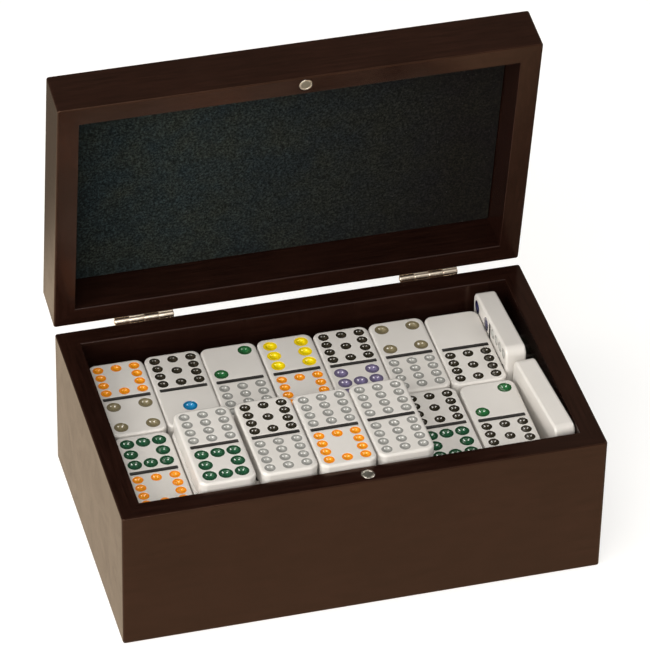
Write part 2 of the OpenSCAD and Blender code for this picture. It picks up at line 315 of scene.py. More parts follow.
class Material:
    """A node material with short calls for the nodes that this scene uses."""

    def __init__(self, name, **sockets):
        self.data = bpy.data.materials.new(name)
        self.data.use_nodes = True
        self.tree = self.data.node_tree
        self.shader = self.tree.nodes["Principled BSDF"]
        for socket, value in sockets.items():
            self.shader.inputs[socket.replace("_", " ")].default_value = value

    def node(self, kind, **settings):
        node = self.tree.nodes.new(kind)
        for key, value in settings.items():
            setattr(node, key, value)
        return node

    def join(self, output, socket):
        self.tree.links.new(output, socket)

    def place(self, scale=(1, 1, 1), turn=(0, 0, 0)):
        """Object coordinates in millimetres, stretched and turned."""
        coordinates = self.node("ShaderNodeTexCoord")
        mapping = self.node("ShaderNodeMapping")
        mapping.inputs["Scale"].default_value = [s / MM for s in scale]
        mapping.inputs["Rotation"].default_value = turn
        self.join(coordinates.outputs["Object"], mapping.inputs["Vector"])
        return mapping.outputs["Vector"]

    def noise(self, place, scale, detail=4, rough=0.5, distortion=0.0):
        node = self.node("ShaderNodeTexNoise")
        node.inputs["Scale"].default_value = scale
        node.inputs["Detail"].default_value = detail
        node.inputs["Roughness"].default_value = rough
        node.inputs["Distortion"].default_value = distortion
        self.join(place, node.inputs["Vector"])
        return node.outputs["Fac"]

    def ramp(self, factor, stops):
        """A colour ramp through (position, colour) stops."""
        node = self.node("ShaderNodeValToRGB")
        elements = node.color_ramp.elements
        while len(elements) < len(stops):
            elements.new(0.5)
        for element, (position, colour) in zip(elements, stops):
            element.position = position
            element.color = (*colour, 1)
        self.join(factor, node.inputs["Fac"])
        return node.outputs["Color"]

    def spread(self, factor, from_lo, from_hi, to_lo, to_hi):
        node = self.node("ShaderNodeMapRange")
        limits = {"From Min": from_lo, "From Max": from_hi, "To Min": to_lo, "To Max": to_hi}
        for socket, value in limits.items():
            node.inputs[socket].default_value = value
        self.join(factor, node.inputs["Value"])
        return node.outputs["Result"]

    def mix(self, factor, a, b, blend="MIX"):
        """Mixes two colours. Each of them, and the factor, is an output or a constant."""
        node = self.node("ShaderNodeMix", data_type="RGBA", blend_type=blend)
        for socket, value in ((node.inputs[0], factor), (node.inputs[6], a), (node.inputs[7], b)):
            if isinstance(value, bpy.types.NodeSocket):
                self.join(value, socket)
            else:
                socket.default_value = value if isinstance(value, (int, float)) else (*value, 1)
        return node.outputs[2]

    def glow(self, colour, strength=1.0):
        node = self.node("ShaderNodeEmission")
        node.inputs["Color"].default_value = colour
        node.inputs["Strength"].default_value = strength
        return node

    def choose(self, share, usual, other):
        """The other shader where the share is 1, and the usual one where it is 0."""
        node = self.node("ShaderNodeMixShader")
        for socket, output in zip(node.inputs, (share, usual, other)):
            self.join(output, socket)
        return node.outputs[0]

    def colour(self, output):
        self.join(output, self.shader.inputs["Base Color"])

    def rough(self, output):
        self.join(output, self.shader.inputs["Roughness"])

    def bump(self, output, distance_mm, strength=1.0, after=None):
        node = self.node("ShaderNodeBump")
        node.inputs["Distance"].default_value = distance_mm * MM
        node.inputs["Strength"].default_value = strength
        self.join(output, node.inputs["Height"])
        if after is not None:
            self.join(after, node.inputs["Normal"])
        self.join(node.outputs["Normal"], self.shader.inputs["Normal"])
        return node.outputs["Normal"]


def wood_material(name, grain, dark, light, tint=(1, 0.6, 0.4, 1)):
    """Espresso stain under satin lacquer. The grain runs along the given axis, 0, 1 or 2."""
    m = Material(name, Specular_Tint=tint, IOR=1.5)
    along = [1.0, 1.0, 1.0]
    along[grain] = 0.06
    fibre = m.noise(m.place(along), 0.9, detail=8, rough=0.65)
    cloud = m.noise(m.place(), 0.035, detail=3)
    stain = m.ramp(fibre, [(0.3, dark), (0.72, light)])
    m.colour(m.mix(m.spread(cloud, 0.35, 0.7, 0, 0.35), stain, [c * 0.6 for c in dark]))
    smudge = m.noise(m.place(), 0.06, detail=5, rough=0.6, distortion=0.8)
    m.rough(m.spread(smudge, 0.3, 0.75, 0.14, 0.26))
    pores = m.bump(m.noise(m.place(along), 2.2, detail=6, rough=0.7), 0.02, 0.5)
    m.bump(m.noise(m.place(), 0.05, detail=2), 0.25, 0.35, after=pores)
    return m.data


def felt_material(name):
    """Short charcoal felt with painted shade: cooler and lighter at the left, warmer and near black at the right,
    with mottled fibres and lint.
    """
    m = Material(name, Roughness=1.0, Specular_IOR_Level=0.03, Sheen_Weight=0.03, Sheen_Roughness=0.6)
    across = m.node("ShaderNodeSeparateXYZ")
    m.join(m.place(), across.inputs[0])
    cast = m.spread(m.noise(m.place(), 0.055, detail=3, rough=0.6), 0.35, 0.65, 0, 1)
    cool = m.mix(cast, (0.0108, 0.0168, 0.0182), (0.0154, 0.0192, 0.0158))
    warm = m.mix(cast, (0.0048, 0.0038, 0.0036), (0.0060, 0.0052, 0.0036))
    # Painted shade: from left to right the felt goes from the lighter cool colours to the near-black warm ones.
    hue_and_painted_shade = m.mix(m.spread(across.outputs["X"], -50, 80, 0, 1), cool, warm)
    mottle = m.noise(m.place(), 0.95, detail=4, rough=0.8)
    speckle = m.ramp(mottle, [(0.36, (0.2, 0.2, 0.2)), (0.5, (0.9, 0.9, 0.9)), (0.64, (2.9, 2.9, 2.9))])
    lint = m.noise(m.place(), 1.1, detail=1)
    lint_share = m.spread(lint, 0.765, 0.8, 0, 0.5)
    m.colour(m.mix(lint_share, m.mix(1.0, hue_and_painted_shade, speckle, "MULTIPLY"), (0.12, 0.115, 0.11)))
    m.bump(m.noise(m.place(), 3.2, detail=5, rough=0.75), 0.25, 0.8)
    return m.data


def tile_material(name):
    """Moulded white plastic, polished, with faint finger marks."""
    m = Material(name, IOR=1.5, Specular_IOR_Level=0.5)
    cloud = m.noise(m.place(), 0.03, detail=3)
    m.colour(m.ramp(cloud, [(0.3, (0.70, 0.672, 0.632)), (0.7, (0.75, 0.722, 0.685))]))
    marks = m.noise(m.place(), 0.1, detail=3, rough=0.5)
    m.rough(m.spread(marks, 0.35, 0.7, 0.22, 0.26))
    m.bump(m.noise(m.place(), 0.5, detail=2), 0.006, 0.3)
    return m.data


def paint_material(name, rim, middle, coat=1.0):
    """Enamel in a pip, darker at the rim as painted shade and lighter in the middle as painted light. The painted
    shade runs from 0 in the middle to 1 at the rim.
    """
    m = Material(name, IOR=1.6, Coat_Weight=coat, Coat_Roughness=0.03, Coat_IOR=1.6)
    painted_shade = m.node("ShaderNodeAttribute", attribute_name="painted_shade").outputs["Fac"]
    flow = m.noise(m.place(), 0.8, detail=3)
    colour = m.ramp(painted_shade, [(0.42, middle), (0.82, rim)])
    m.colour(m.mix(m.spread(flow, 0.3, 0.8, 0, 0.25), colour, [c * 0.7 for c in rim]))
    m.rough(m.spread(flow, 0.3, 0.7, 0.06, 0.1))
    return m.data


def ink_material(name):
    """Matt ink in the divider groove, lighter in streaks."""
    m = Material(name, IOR=1.5)
    streaks = m.noise(m.place((0.25, 1.6, 1)), 1.0, detail=4, rough=0.6)
    m.colour(m.ramp(streaks, [(0.4, (0.008, 0.007, 0.006)), (0.7, (0.034, 0.030, 0.027))]))
    m.rough(m.spread(streaks, 0.3, 0.7, 0.38, 0.5))
    return m.data


def metal_material(name, colour, rough_lo, rough_hi, brushed=0.004):
    """Plated metal with fine wear."""
    m = Material(name, Metallic=1.0)
    wear = m.noise(m.place(), 0.5, detail=6, rough=0.7)
    m.colour(m.ramp(wear, [(0.3, [c * 0.86 for c in colour]), (0.65, colour)]))
    m.rough(m.spread(wear, 0.3, 0.75, rough_lo, rough_hi))
    m.bump(m.noise(m.place((1, 0.1, 0.1)), 6, detail=3), brushed, 0.6)
    return m.data


STAIN_DARK = (0.0084, 0.0029, 0.0020)
STAIN_LIGHT = (0.0236, 0.0087, 0.0058)
wood_along = [wood_material(f"espresso_wood_{'xyz'[i]}", i, STAIN_DARK, STAIN_LIGHT) for i in range(3)]
# Along the eased inner edges a lighter, pinker stain is painted in as a highlight, for the thin light line that
# the lacquer catches there.
EDGE_HIGHLIGHT_DARK = (0.012, 0.007, 0.006)
EDGE_HIGHLIGHT_LIGHT = (0.030, 0.015, 0.013)
edge_highlight_along = [
    wood_material(f"painted_edge_highlight_{'xyz'[i]}", i, EDGE_HIGHLIGHT_DARK, EDGE_HIGHLIGHT_LIGHT, tint=(0.9, 0.66, 0.60, 1))
    for i in range(3)
]
felt = felt_material("charcoal_felt")
plastic = tile_material("white_plastic")
brass = metal_material("pale_brass", (1.0, 0.89, 0.75), 0.18, 0.28, brushed=0.0015)
nickel = metal_material("worn_nickel", (0.84, 0.80, 0.72), 0.2, 0.36)
magnet_core = metal_material("magnet_face", (0.40, 0.39, 0.34), 0.3, 0.45)

# Enamel of each number: its colour at the rim of a pip, darkened there as painted shade, and in the middle,
# lightened there as painted light, and its coat if that is thinner.
ENAMEL = {
    1: ((0.005, 0.17, 0.38), (0.02, 0.29, 0.62)),
    2: ((0.022, 0.112, 0.034), (0.024, 0.172, 0.052)),
    3: ((0.45, 0.012, 0.01), (0.55, 0.02, 0.015)),
    4: ((0.21, 0.175, 0.10), (0.29, 0.245, 0.14)),
    5: ((0.012, 0.012, 0.05), (0.022, 0.022, 0.085)),
    6: ((1.0, 0.72, 0.006), (1.0, 0.78, 0.006), 0.2),
    7: ((0.145, 0.12, 0.205), (0.23, 0.195, 0.35)),
    8: ((0.016, 0.072, 0.032), (0.020, 0.115, 0.053)),
    9: ((0.12, 0.008, 0.015), (0.17, 0.012, 0.02)),
    10: ((1.0, 0.30, 0.010), (1.0, 0.37, 0.014), 0.5),
    11: ((0.024, 0.020, 0.012), (0.040, 0.034, 0.021)),
    12: ((0.32, 0.32, 0.30), (0.46, 0.46, 0.43)),
}
enamel = [paint_material(f"enamel_{n}", *ENAMEL[n]) for n in sorted(ENAMEL)]
ink = ink_material("divider_ink")
# A tile's materials: plastic first, each number's enamel at its own number, and the divider's ink last.
tile_materials = [plastic, *enamel, ink]
INK = len(tile_materials) - 1


# ---- boards ----

CORNER_R = 1.2  # radius of a frame's upright outer corners
EDGE = 0.7  # radius along the outer edges of the boards
INNER_EDGE = 0.45
SHARP_EDGE = 0.15
BORE_PLAY = 0.05  # between a magnet and its bore
BORE_BEVEL = (0.15, 0.12)  # width and depth
ARC_STEPS = 4
TURN_STEPS = 48


def fillet(profile):
    """Rounds the right-angled corners of a closed profile, given as (depth, height, radius)."""
    points = []
    for i, (x, y, radius) in enumerate(profile):
        here = Vector((x, y))
        before = (Vector(profile[i - 1][:2]) - here).normalized()
        after = (Vector(profile[(i + 1) % len(profile)][:2]) - here).normalized()
        middle = here + (before + after) * radius
        for k in range(ARC_STEPS + 1):
            a = math.pi / 2 * k / ARC_STEPS
            points.append(tuple(middle - after * radius * math.cos(a) - before * radius * math.sin(a)))
    return points


def board_profile(height, panel_t):
    """The section of a side board: outer face, rim, inner face, and the rebate for the panel."""
    return fillet([
        (0, 0, EDGE), (0, height, EDGE), (WALL, height, INNER_EDGE),
        (WALL, panel_t, SHARP_EDGE), (WALL - REBATE, panel_t, SHARP_EDGE), (WALL - REBATE, 0, SHARP_EDGE),
    ])


def board_row(depth, height, length, width):
    """Points of a mitred board at one depth, from its left end to its right end, along the front."""
    x, y = length / 2, -width / 2
    r = CORNER_R
    if depth < r:
        left = arc(-x + r, y + r, r - depth, -135, -90, ARC_STEPS)
        right = arc(x - r, y + r, r - depth, -90, -45, ARC_STEPS)
    else:
        left = [(-x + depth, y + depth)] * (ARC_STEPS + 1)
        right = [(x - depth, y + depth)] * (ARC_STEPS + 1)
    return [(px, py, height) for px, py in left + right]


def bore_rim(shape, count, height):
    """Opens the flat strip of the front board's rim and fills it again round the magnet's bore.

    The board's rows have the given count of points, and its rim is at the given height.
    """
    # The strip lies between the fillets of the second and third corners of the profile.
    strip = 2 * (ARC_STEPS + 1) - 1
    first = strip * (count - 1)
    del shape.faces[first:first + count - 1]
    del shape.paints[first:first + count - 1]
    near = numbers(strip * count, count)
    # The far side is sharp at its ends, where the points of each arc coincide.
    far = [(strip + 1) * count + i for i in (ARC_STEPS, ARC_STEPS + 1)]
    radius = MAGNET_R + BORE_PLAY
    levels = ((radius + BORE_BEVEL[0], 0), (radius, BORE_BEVEL[1]), (radius, MAGNET_SINK + MAGNET_T))
    rings = [at_height(circle(MAGNET_X, MAGNET_Y, r, TURN_STEPS), height - z) for r, z in levels]
    hole = shape.loft(rings)
    shape.close(hole + (len(levels) - 1) * TURN_STEPS, TURN_STEPS)
    flat_fill(shape, [near + far[::-1], numbers(hole, TURN_STEPS)], Vector((0, 0, 1)))


def board(length, width, height, panel_t, bored):
    """A mitred side board along the front edge of a frame, bored for a magnet or plain."""
    shape = Shape()
    rows = [board_row(depth, z, length, width) for depth, z in board_profile(height, panel_t)]
    count = len(rows[0])
    shape.loft(rows + [rows[0]], closed=False)
    # The fillet of the rim's inner edge is the third corner of the profile.
    # The faces of that fillet take the board's second material, which is the painted highlight where the board has
    # one.
    edge_highlight = 2 * (ARC_STEPS + 1) * (count - 1)
    shape.paints[edge_highlight:edge_highlight + ARC_STEPS * (count - 1)] = [1] * (ARC_STEPS * (count - 1))
    if bored:
        bore_rim(shape, count, height)
    shape.weld()
    for end in (0, count - 1):
        cap = shape.add([row[end] for row in rows], [])
        shape.close(cap, len(rows), under=end > 0)
    return shape


# Each side: its turn from the front in degrees, its board's length and the frame's width across it.
SIDES = {
    "front": (0, BOX_W, BOX_D), "right": (90, BOX_D, BOX_W),
    "back": (180, BOX_W, BOX_D), "left": (270, BOX_D, BOX_W),
}
# Turned over to stand on the lid's top, so that the profile's rim is the lid's rim.
lid_shut = Matrix.Translation((0, 0, BOX_H + LID_H)) @ Matrix.Scale(-1, 4, (0, 0, 1))


def flipped(shape, matrix):
    """The shape moved by a mirroring matrix, with its faces turned back to face outwards."""
    turned = Shape()
    turned.put(shape, matrix, flip=True)
    return turned


def woods(grain, edge_highlight):
    """A board's stain and, where asked, the painted highlight on its inner edge, with the grain along the given
    axis.
    """
    return [wood_along[grain], edge_highlight_along[grain] if edge_highlight else wood_along[grain]]


for side, (turn, length, width) in SIDES.items():
    place = Matrix.Rotation(math.radians(turn), 4, "Z")
    upright = side in ("left", "right")
    bored = side == "front"
    # The back boards of the box and of the lid carry the painted highlight along their inner edges.
    make_piece(
        f"{side}_board", board(length, width, BOX_H, BOTTOM_T, bored),
        woods(1 if upright else 0, side == "back"), "box", [f"{side}_wall"], place,
    )
    lid_board = flipped(board(length, width, LID_H, LID_PANEL_T, bored), lid_shut @ place)
    make_piece(
        f"lid_{side}_board", lid_board, woods(2 if upright else 0, side == "back"),
        "lid", [f"lid_{side}_rail"], swing_open,
    )


PANEL_EASE = (0.3, 0.25)  # radii of the upright corners and of the edges
FELT_EASE = (0.8, 0.35)


def panel_piece(name, box, body, node, material, ease, matrix=Matrix()):
    """A slab with eased edges that fills a CAD box."""
    lo, hi = box
    middle = Matrix.Translation(Vector((lo + hi) / 2))
    shape = slab(*(hi - lo), *ease)
    make_piece(name, shape, [material], body, [node], matrix @ middle)


panel_piece(
    "base_panel", node_box("bottom_panel"), "box", "bottom_panel", wood_along[0], PANEL_EASE,
)
panel_piece(
    "lid_top_panel", shut_box("lid_panel"), "lid", "lid_panel", wood_along[0], PANEL_EASE,
    swing_open,
)
panel_piece("base_felt", node_box("floor_felt"), "box", "floor_felt", felt, FELT_EASE)
panel_piece("lid_felt_sheet", shut_box("lid_felt"), "lid", "lid_felt", felt, FELT_EASE, swing_open)


# ---- magnets ----

def turned_part(profile, steps=TURN_STEPS, paint=0):
    """A lathe shape about the Z axis through (radius, height) points, from the underside up."""
    shape = Shape()
    rings = [at_height(circle(0, 0, r, steps), z) for r, z in profile]
    start = shape.loft(rings, paint=paint)
    shape.close(start, steps, paint, under=True)
    shape.close(start + (len(profile) - 1) * steps, steps, paint)
    return shape


def magnet_shape():
    """A cup magnet: a bright steel cup round a duller core that sits a little lower. Its top is at z = 0."""
    r, core = MAGNET_R, MAGNET_R * 0.72
    cup = turned_part([
        (r, -MAGNET_T), (r, -0.3), (r - 0.09, -0.09), (r - 0.3, 0),
        (core + 0.2, 0), (core + 0.06, -0.06), (core, -0.2),
    ])
    core_profile = [(core - 0.02, -0.4), (core - 0.02, -0.24), (core - 0.12, -0.16), (core - 0.3, -0.14)]
    core_face = turned_part(core_profile, paint=1)
    cup.put(core_face, Matrix())
    return cup


make_piece(
    "box_catch_magnet", magnet_shape(), [nickel, magnet_core], "box", ["box_magnet"],
    Matrix.Translation((MAGNET_X, MAGNET_Y, BOX_H - MAGNET_SINK)),
)
lid_magnet_at = Matrix.Translation((MAGNET_X, MAGNET_Y, BOX_H + MAGNET_SINK))
make_piece(
    "lid_catch_magnet", magnet_shape(), [nickel, magnet_core], "lid", ["lid_magnet"],
    swing_open @ (lid_magnet_at @ Matrix.Rotation(math.pi, 4, "X")),
)


# ---- hinges, about the pin's line, with the leaf hanging down against the boards ----

leaf_lo, leaf_hi = node_box("left_hinge_box_leaf")
pin_lo, pin_hi = node_box("left_hinge_pin")
KNUCKLES = 4
PIN_DOME = 0.3  # how far the pin's domed ends stand out
HINGE_W = pin_hi[0] - pin_lo[0] - 2 * PIN_DOME
KNUCKLE_R = leaf_hi[2] - hinge_at[2]
LEAF_H = hinge_at[2] - leaf_lo[2]
LEAF_T = 1.0
PIN_R = (pin_hi[2] - pin_lo[2]) / 2
PIN_PLAY = 0.05  # between the pin and a knuckle's bore
PIN_STEPS = 24
PITCH = HINGE_W / KNUCKLES
SPLIT = 0.2  # gap between knuckles
SCREW_X = HINGE_W / 2 - 5
SCREW_Z = -8
SCREW_HEAD_R = 2.3
SCREW_HOLE_R = 1.2
SCREW_STEPS = 24
LEAF_CORNER = 1.6
BEVEL = 0.12


def knuckle_outline(drop):
    """The rolled end of a leaf in (y, z), anticlockwise seen from +X. Its strip leaves it below the pin."""
    r = KNUCKLE_R
    bend = 0.35
    outer = -HINGE_SET + LEAF_T
    meet = math.degrees(math.asin(-outer / r))
    # The roll ends short of the strip, with a shallow seam between them.
    strip_at = -90 - meet
    roll_from = 190 if drop else 160
    over = arc(0, 0, r, roll_from, strip_at + 14, 24)
    seam = arc(0, 0, 0.88 * r, strip_at + 9, strip_at + 7, 1)
    lower = [(outer, -r * math.cos(math.radians(meet)))]
    shoulder = arc(-HINGE_SET + bend, -drop - bend, bend, 180, 110, 4)
    clockwise = [(-HINGE_SET, -HINGE_SET)] + shoulder + over + seam + lower + [(outer, -HINGE_SET)]
    return clockwise[::-1]


def knuckle(x0, x1, drop):
    """One knuckle between two places along the pin, with eased ends and a bore."""
    shape = Shape()
    outline = knuckle_outline(drop)
    rings = []
    eased = 1 - BEVEL / KNUCKLE_R
    for x, shrink in ((x0, eased), (x0 + BEVEL, 1), (x1 - BEVEL, 1), (x1, eased)):
        rings.append([(x, y * shrink, z * shrink) for y, z in outline])
    shape.loft(rings)
    for x, way in ((x0, -1), (x1, 1)):
        rim = [(x, y * eased, z * eased) for y, z in outline]
        bore = [(x, y, z) for y, z in circle(0, 0, PIN_R + PIN_PLAY, PIN_STEPS // 2)]
        ends = [numbers(shape.add(loop, []), len(loop)) for loop in (rim, bore)]
        flat_fill(shape, ends, Vector((way, 0, 0)))
    return shape


def leaf_plate():
    """The flat of a leaf below the knuckles, with round lower corners and two countersunk holes."""
    shape = Shape()
    top, bottom = -HINGE_SET + 0.4, -LEAF_H
    x = HINGE_W / 2
    c = LEAF_CORNER

    def outline(inset):
        r = c - inset
        lower = arc(-x + c, bottom + c, r, 180, 270, 6) + arc(x - c, bottom + c, r, 270, 360, 6)
        return (lower + [(x - inset, top), (-x + inset, top)])[::-1]

    y_in, y_out = -HINGE_SET, -HINGE_SET + LEAF_T
    levels = ((y_in, BEVEL), (y_in + BEVEL, 0), (y_out - BEVEL, 0), (y_out, BEVEL))
    rings = [[(px, y, pz) for px, pz in outline(inset)] for y, inset in levels]
    start = shape.loft(rings)
    count = len(rings[0])
    face = numbers(start + (len(rings) - 1) * count, count)
    holes = []
    for sx in (-1, 1):
        cone = []
        for radius, y in ((SCREW_HEAD_R, y_out), (SCREW_HOLE_R, y_in)):
            clockwise = arc(0, 0, radius, 0, 360 / SCREW_STEPS - 360, SCREW_STEPS - 1)
            cone.append([(sx * SCREW_X + cx, y, SCREW_Z + cz) for cx, cz in clockwise])
        holes.append(numbers(shape.loft(cone), SCREW_STEPS))
    flat_fill(shape, [face, *holes], Vector((0, 1, 0)))
    return shape


def leaf(first, drop):
    """A leaf whose knuckles are every second one from the first."""
    shape = Shape()
    shape.put(leaf_plate(), Matrix())
    for k in range(first, KNUCKLES, 2):
        x0 = -HINGE_W / 2 + k * PITCH + SPLIT / 2
        shape.put(knuckle(x0, x0 + PITCH - SPLIT, drop), Matrix())
    return shape


def pin_shape():
    """A pin with domed ends along X."""
    half = HINGE_W / 2
    angles = [math.radians(a) for a in (0, 30, 60, 80)]
    dome = [(PIN_R * math.cos(a), PIN_DOME * math.sin(a)) for a in angles]
    profile = [(r, -half - z) for r, z in reversed(dome)] + [(r, half + z) for r, z in dome]
    shape = Shape()
    shape.put(turned_part(profile, PIN_STEPS), Matrix.Rotation(math.pi / 2, 4, "Y"))
    return shape


for side in ("left", "right"):
    middle_x = node_middle(f"{side}_hinge_pin")[0]
    place = Matrix.Translation((middle_x, hinge_at[1], hinge_at[2]))
    box_leaf = leaf(0, KNUCKLE_R / 3)
    make_piece(
        f"{side}_box_leaf", box_leaf, [brass], "box", [f"{side}_hinge_box_leaf"], place,
    )
    lid_leaf = flipped(leaf(1, 0), Matrix.Scale(-1, 4, (0, 0, 1)))
    make_piece(
        f"{side}_lid_leaf", lid_leaf, [brass], "lid", [f"{side}_hinge_lid_leaf"],
        swing_open @ place,
    )
    make_piece(f"{side}_pin", pin_shape(), [brass], "box", [f"{side}_hinge_pin"], place)

for node in ("box_hinge_screws", "lid_hinge_screws"):
    screws = frame["nodes"][node]
    screws.data.materials.clear()
    screws.data.materials.append(nickel)


# ---- dominoes ----

TILE_CORNER = 4.0
TILE_EDGE = 1.2
BIG_PIP = 6.3
BIG_PIP_MARGIN = 2.4
SMALL_PIP = 4.8
SMALL_PIP_MARGIN = 2.1
DIVIDER_MARGIN = 1.95
DIVIDER = (TILE[0] - 2 * DIVIDER_MARGIN, 2.2)
DIVIDER_DEPTH = 0.5
DIVIDER_STEPS = 5
PIP_STEPS = 28
OUTER_COLUMNS = [(x, y) for x in (-1, 1) for y in (-1, -1 / 3, 1 / 3, 1)]
SIX = [(x, y) for x in (-1, 1) for y in (-1, 0, 1)]
PIPS = {
    0: [],
    1: [(0, 0)],
    2: [(-1, -1), (1, 1)],
    3: [(0, 0), (-1, -1), (1, 1)],
    4: [(-1, -1), (-1, 1), (1, -1), (1, 1)],
    5: [(0, 0), (-1, -1), (-1, 1), (1, -1), (1, 1)],
    6: SIX,
    7: SIX + [(0, 0)],
    8: SIX + [(0, -1), (0, 1)],
    9: SIX + [(0, -1), (0, 0), (0, 1)],
    10: OUTER_COLUMNS + [(0, -1), (0, 1)],
    11: OUTER_COLUMNS + [(0, -1), (0, 0), (0, 1)],
    12: OUTER_COLUMNS + [(0, y) for y in (-1, -1 / 3, 1 / 3, 1)],
}


def pip_profile(radius):
    """(radius, depth, painted shade) from the rim to the middle of a pip: an eased rim, a dish and a dimple."""
    dish = 0.09 * radius
    dimple_r, dimple_round = 0.58 * radius, 0.95 * radius
    steps = [(radius + 0.1, 0.0, 1.0), (radius + 0.03, 0.03, 1.0), (radius - 0.03, 0.08, 1.0)]
    for share in (0.9, 0.8, 0.7, 0.62):
        steps.append((share * radius, 0.08 + (dish - 0.08) * (1 - share), share))
    edge = math.sqrt(dimple_round ** 2 - dimple_r ** 2)
    for share in (1.0, 0.88, 0.74, 0.6, 0.45, 0.3, 0.15):
        r = share * dimple_r
        steps.append((r, dish + math.sqrt(dimple_round ** 2 - r * r) - edge, r / radius))
    return steps


def press_pips(shape, number, middle_y):
    """Presses a number's pips into one half of a tile. Returns their rims, as rings of vertex numbers."""
    w, length, t = TILE
    radius, margin = (SMALL_PIP / 2, SMALL_PIP_MARGIN) if number > 9 else (BIG_PIP / 2, BIG_PIP_MARGIN)
    step_x = w / 2 - margin - radius
    step_y = length / 4 - margin - radius
    profile = pip_profile(radius)
    rims = []
    for px, py in PIPS[number]:
        x, y = px * step_x, middle_y + py * step_y
        loops = [at_height(circle(x, y, r, PIP_STEPS), t / 2 - depth) for r, depth, _ in profile]
        first = shape.loft(loops, painted_shades=[painted_shade for _, _, painted_shade in profile])
        # The outermost ring is bare plastic, so the paint starts one ring in.
        painted = len(shape.faces) - (len(profile) - 2) * PIP_STEPS
        shape.paints[painted:] = [number] * (len(shape.faces) - painted)
        shape.close(first + (len(profile) - 1) * PIP_STEPS, PIP_STEPS, number)
        rims.append(numbers(first, PIP_STEPS))
    return rims


def press_divider(shape):
    """Presses the divider's groove into a tile. Returns its rim, as a ring of vertex numbers."""
    loops = []
    painted_shades = []
    for i in range(DIVIDER_STEPS + 1):
        a = math.radians(15 + 66 * i / DIVIDER_STEPS)
        inset = DIVIDER[1] / 2 * (1 - math.cos(a)) - 0.03
        depth = DIVIDER_DEPTH * math.sin(a) if i else 0
        loop = round_rectangle(DIVIDER[0] - 2 * inset, DIVIDER[1] - 2 * inset, 0.5 - inset * 0.5, 3)
        loops.append(at_height(loop, TILE[2] / 2 - depth))
        painted_shades.append(1 - i / DIVIDER_STEPS)
    count = len(loops[0])
    first = shape.loft(loops, paint=INK, painted_shades=painted_shades)
    shape.close(first + DIVIDER_STEPS * count, count, INK)
    return numbers(first, count)


def domino(back, front):
    """A tile about its own centre, face up: one number on its back half and one on its front half."""
    shape = Shape()
    rings = slab_rings(*TILE, TILE_CORNER, TILE_EDGE, corner_steps=7, edge_steps=4)
    count = len(rings[0])
    start = shape.loft(rings)
    shape.close(start, count, under=True)
    top = numbers(start + (len(rings) - 1) * count, count)
    middle = TILE[1] / 4
    holes = [*press_pips(shape, back, middle), *press_pips(shape, front, -middle), press_divider(shape)]
    flat_fill(shape, [top, *holes], Vector((0, 0, 1)))
    return shape


# Each tile: its back and front numbers, its turn and, on edge, its pitch and the side its face looks to.
FLAT_TILES = {
    "back_tile_1": (10, 4, 0), "back_tile_2": (11, 1, -0.2), "back_tile_3": (2, 12, 0),
    "back_tile_4": (6, 10, 0.2), "back_tile_5": (11, 7, -0.2), "back_tile_6": (4, 12, -0.1),
    "back_tile_7": (0, 11, -0.4),
    "front_tile_1": (8, 10, 0.2), "front_tile_2": (3, 9, 0), "front_tile_3": (5, 11, 0),
    "front_tile_4": (7, 12, 0), "front_tile_5": (1, 10, 0), "front_tile_6": (11, 8, 0.3),
    "front_tile_7": (2, 11, -0.3),
    "top_tile_1": (12, 8, 0.3), "top_tile_2": (11, 12, 0.6), "top_tile_3": (12, 10, 0.5),
    "top_tile_4": (12, 12, 1.0),
}
STANDING_TILES = {"standing_tile_back": (5, 12, -0.3, -5.0, -1), "standing_tile_front": (9, 9, 4.6, 2.2, 1)}
bodies = frame["record"]["behaviour"]["bodies"]
body_of_node = {node: body for body, nodes in bodies.items() for node in nodes}


def tile_place(node, turn, pitch=0, face=0):
    """Where a tile lies: its CAD node's middle, its turn, its pitch and the side that its face looks to."""
    turned = Matrix.Rotation(math.radians(turn), 4, "Z") @ Matrix.Rotation(math.radians(pitch), 4, "X")
    upright = Matrix.Rotation(math.radians(90 * face), 4, "Y")
    return Matrix.Translation(Vector(node_middle(node))) @ turned @ upright


for node, (back, front, *lie) in (FLAT_TILES | STANDING_TILES).items():
    make_piece(
        f"domino_{node}", domino(back, front), tile_materials, body_of_node[node], [node],
        tile_place(node, *lie),
    )


# ---- the lower layers ----

def solids_middles(node):
    """Middles of the separate solids of a CAD node, from left to right and front to back."""
    mesh = frame["nodes"][node].data
    group = list(range(len(mesh.vertices)))

    def root(i):
        while group[i] != i:
            group[i] = group[group[i]]
            i = group[i]
        return i

    places = {}
    for v in mesh.vertices:
        key = tuple(round(c / MM, 3) for c in v.co)
        group[v.index] = places.setdefault(key, v.index)
    for edge in mesh.edges:
        a, b = (root(i) for i in edge.vertices)
        group[a] = b
    members = {}
    for v in mesh.vertices:
        members.setdefault(root(v.index), []).append(v.co / MM)
    boxes = [(np.min(points, 0), np.max(points, 0)) for points in members.values()]
    return sorted([tuple((lo + hi) / 2) for lo, hi in boxes], key=lambda p: (round(p[0]), round(p[1])))


